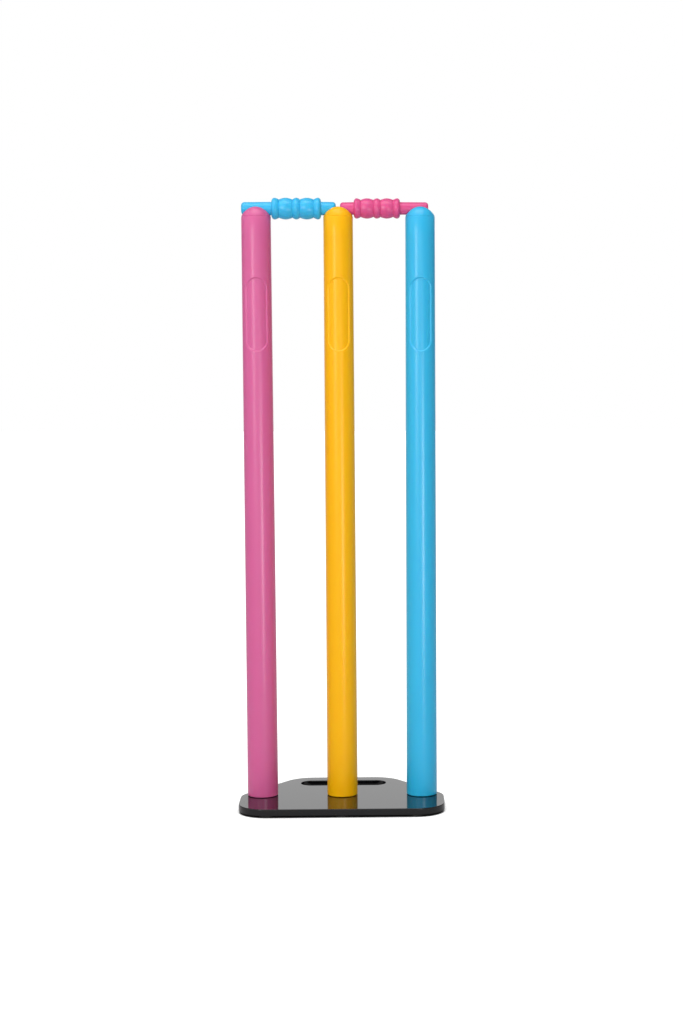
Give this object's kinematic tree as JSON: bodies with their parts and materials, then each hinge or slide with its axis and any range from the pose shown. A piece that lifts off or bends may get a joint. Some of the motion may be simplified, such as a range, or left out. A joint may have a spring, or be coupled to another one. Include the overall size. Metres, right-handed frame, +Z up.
{
  "type": "cricket stumps",
  "caption": "Free-standing cricket wicket: tapered stumps in bright colours screwed to a flat black base with a hand slot, and lift-off bails in the grooves of their domed tops.",
  "frame": {"origin": "on the ground under the middle of the base plate", "axes": "+X along the wicket from the pink stump to the blue one, +Y from the front edge to the hand slot, +Z up along the stumps"},
  "size_m": [0.244, 0.175, 0.7197],
  "materials": {
    "plate_coating": "black powder coating, satin, on cut steel plate",
    "pad_rubber": "matt black rubber",
    "stump_pink": "satin moulded plastic, pink",
    "stump_yellow": "satin moulded plastic, yellow",
    "stump_blue": "satin moulded plastic, sky blue",
    "plug_plastic": "black nylon",
    "insert_brass": "machined brass",
    "screw_steel": "zinc-plated steel",
    "bail_blue": "satin moulded plastic, sky blue",
    "bail_pink": "satin moulded plastic, pink"
  },
  "bodies": {
    "stand": {"base_plate": "plate_coating", "front_left_pad": "pad_rubber", "front_middle_pad": "pad_rubber", "front_right_pad": "pad_rubber", "rear_left_pad": "pad_rubber", "rear_middle_pad": "pad_rubber", "rear_right_pad": "pad_rubber", "left_stump": "stump_pink", "left_foot_plug": "plug_plastic", "left_insert": "insert_brass", "left_base_screw": "screw_steel", "middle_stump": "stump_yellow", "middle_foot_plug": "plug_plastic", "middle_insert": "insert_brass", "middle_base_screw": "screw_steel", "right_stump": "stump_blue", "right_foot_plug": "plug_plastic", "right_insert": "insert_brass", "right_base_screw": "screw_steel"},
    "left_bail": {"left_bail": "bail_blue"},
    "right_bail": {"right_bail": "bail_pink"}
  },
  "joints": [
    {"name": "left_bail_lift", "type": "slide", "parent": "stand", "child": "left_bail", "axis": [0, 0, 1], "range_m": [0, 0.06]},
    {"name": "right_bail_lift", "type": "slide", "parent": "stand", "child": "right_bail", "axis": [0, 0, 1], "range_m": [0, 0.06]}
  ]
}
